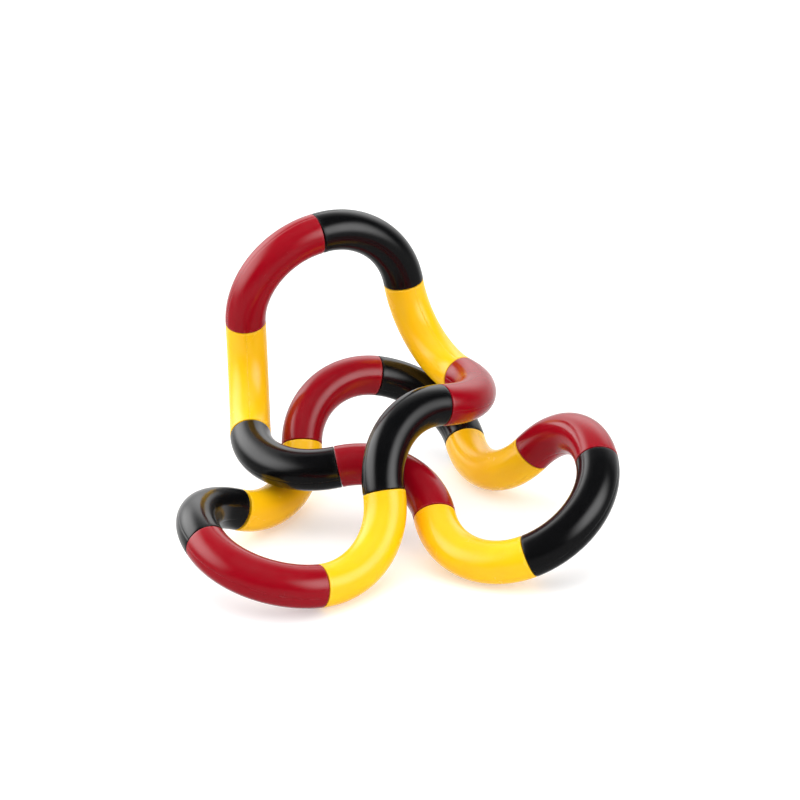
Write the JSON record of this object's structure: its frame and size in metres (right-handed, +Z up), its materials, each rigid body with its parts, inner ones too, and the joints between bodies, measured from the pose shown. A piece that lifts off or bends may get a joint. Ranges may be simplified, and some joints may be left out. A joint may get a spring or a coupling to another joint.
{
  "type": "twisty snake puzzle",
  "caption": "Closed ring of short quarter-bend tube sections that swivel on one another end to end, twisted into a loose heap of loops that stands on its bends.",
  "frame": {"origin": "middle of the footprint, on the table that the ring stands on", "axes": "+Z up from the table; +X along the line from the back left foot to the back right foot (the lowest points of sections 09 and 12); +Y away from the front, where the third foot (section 06) is"},
  "size_m": [0.1018, 0.0968, 0.0663],
  "materials": {
    "red_plastic": "gloss",
    "black_plastic": "gloss",
    "yellow_plastic": "gloss",
    "stud_plastic": "natural, unpainted"
  },
  "bodies": {
    "section_01": {"section_01_shell_a": "red_plastic", "section_01_shell_b": "red_plastic", "section_01_stud": "stud_plastic"},
    "section_02": {"section_02_shell_a": "black_plastic", "section_02_shell_b": "black_plastic", "section_02_stud": "stud_plastic"},
    "section_03": {"section_03_shell_a": "yellow_plastic", "section_03_shell_b": "yellow_plastic", "section_03_stud": "stud_plastic"},
    "section_04": {"section_04_shell_a": "red_plastic", "section_04_shell_b": "red_plastic", "section_04_stud": "stud_plastic"},
    "section_05": {"section_05_shell_a": "black_plastic", "section_05_shell_b": "black_plastic", "section_05_stud": "stud_plastic"},
    "section_06": {"section_06_shell_a": "yellow_plastic", "section_06_shell_b": "yellow_plastic", "section_06_stud": "stud_plastic"},
    "section_07": {"section_07_shell_a": "red_plastic", "section_07_shell_b": "red_plastic", "section_07_stud": "stud_plastic"},
    "section_08": {"section_08_shell_a": "black_plastic", "section_08_shell_b": "black_plastic", "section_08_stud": "stud_plastic"},
    "section_09": {"section_09_shell_a": "yellow_plastic", "section_09_shell_b": "yellow_plastic", "section_09_stud": "stud_plastic"},
    "section_10": {"section_10_shell_a": "red_plastic", "section_10_shell_b": "red_plastic", "section_10_stud": "stud_plastic"},
    "section_11": {"section_11_shell_a": "black_plastic", "section_11_shell_b": "black_plastic", "section_11_stud": "stud_plastic"},
    "section_12": {"section_12_shell_a": "yellow_plastic", "section_12_shell_b": "yellow_plastic", "section_12_stud": "stud_plastic"},
    "section_13": {"section_13_shell_a": "red_plastic", "section_13_shell_b": "red_plastic", "section_13_stud": "stud_plastic"},
    "section_14": {"section_14_shell_a": "black_plastic", "section_14_shell_b": "black_plastic", "section_14_stud": "stud_plastic"},
    "section_15": {"section_15_shell_a": "yellow_plastic", "section_15_shell_b": "yellow_plastic", "section_15_stud": "stud_plastic"},
    "section_16": {"section_16_shell_a": "red_plastic", "section_16_shell_b": "red_plastic", "section_16_stud": "stud_plastic"},
    "section_17": {"section_17_shell_a": "black_plastic", "section_17_shell_b": "black_plastic", "section_17_stud": "stud_plastic"},
    "section_18": {"section_18_shell_a": "yellow_plastic", "section_18_shell_b": "yellow_plastic", "section_18_stud": "stud_plastic"}
  },
  "joints": [
    {"name": "swivel_11_12", "type": "hinge", "parent": "section_12", "child": "section_11", "pos_m": [0.02775, 0.02188, 0.00698], "axis": [-0.0943, -0.9147, -0.3929], "range_deg": [0, 180]},
    {"name": "swivel_10_11", "type": "hinge", "parent": "section_11", "child": "section_10", "pos_m": [0.01059, 0.03953, 0.02092], "axis": [0.9521, 0.0325, -0.304], "range_deg": [0, 180]},
    {"name": "swivel_09_10", "type": "hinge", "parent": "section_10", "child": "section_09", "pos_m": [-0.01261, 0.02567, 0.01257], "axis": [0.2078, 0.6606, 0.7214], "range_deg": [-180, 0]},
    {"name": "swivel_12_13", "type": "hinge", "parent": "section_12", "child": "section_13", "pos_m": [0.03733, -0.00386, 0.01372], "axis": [0.5733, -0.3725, 0.7298], "range_deg": [-2, 2]},
    {"name": "swivel_13_14", "type": "hinge", "parent": "section_13", "child": "section_14", "pos_m": [0.04537, -0.02982, 0.02156], "axis": [-0.1715, -0.9255, -0.3377], "range_deg": [-180, 0]},
    {"name": "swivel_14_15", "type": "hinge", "parent": "section_14", "child": "section_15", "pos_m": [0.02417, -0.04246, 0.00775], "axis": [-0.8885, 0.2934, -0.3528], "range_deg": [-180, 0]},
    {"name": "swivel_15_16", "type": "hinge", "parent": "section_15", "child": "section_16", "pos_m": [0.00853, -0.01899, 0.00994], "axis": [0.1069, 0.8801, 0.4626], "range_deg": [0, 2]},
    {"name": "swivel_16_17", "type": "hinge", "parent": "section_16", "child": "section_17", "pos_m": [-0.0088, 0.00235, 0.01657], "axis": [-0.9735, 0.1872, -0.1311], "range_deg": [-5, 0]},
    {"name": "swivel_17_18", "type": "hinge", "parent": "section_17", "child": "section_18", "pos_m": [-0.02504, 0.02549, 0.01763], "axis": [0.2124, 0.9585, 0.1904], "range_deg": [-2, 0]},
    {"name": "swivel_18_01", "type": "hinge", "parent": "section_18", "child": "section_01", "pos_m": [-0.02053, 0.04071, 0.04104], "axis": [0.0038, -0.2392, 0.971], "range_deg": [-14, 0]},
    {"name": "swivel_01_02", "type": "hinge", "parent": "section_01", "child": "section_02", "pos_m": [-0.00079, 0.03949, 0.06126], "axis": [0.982, 0.1659, 0.0909], "range_deg": [-180, 0]},
    {"name": "swivel_02_03", "type": "hinge", "parent": "section_02", "child": "section_03", "pos_m": [0.0206, 0.04336, 0.04316], "axis": [0.0875, 0.0276, -0.9958], "range_deg": [0, 8]},
    {"name": "swivel_03_04", "type": "hinge", "parent": "section_03", "child": "section_04", "pos_m": [0.02871, 0.02495, 0.02328], "axis": [0.3178, -0.9482, 0.0016], "range_deg": [-180, 0]},
    {"name": "swivel_04_05", "type": "hinge", "parent": "section_04", "child": "section_05", "pos_m": [0.01682, -0.00012, 0.02878], "axis": [-0.9123, -0.3053, 0.2731], "range_deg": [-10, 0]},
    {"name": "swivel_05_06", "type": "hinge", "parent": "section_05", "child": "section_06", "pos_m": [-0.00261, -0.01746, 0.01774], "axis": [-0.059, -0.5619, -0.8251], "range_deg": [-100, 0]},
    {"name": "swivel_06_07", "type": "hinge", "parent": "section_06", "child": "section_07", "pos_m": [-0.02282, -0.03305, 0.00556], "axis": [-0.9519, -0.2173, 0.2161], "range_deg": [-180, 0]},
    {"name": "swivel_07_08", "type": "hinge", "parent": "section_07", "child": "section_08", "pos_m": [-0.04535, -0.01811, 0.0139], "axis": [-0.2076, 0.9558, 0.2084], "range_deg": [-15, 180]}
  ]
}
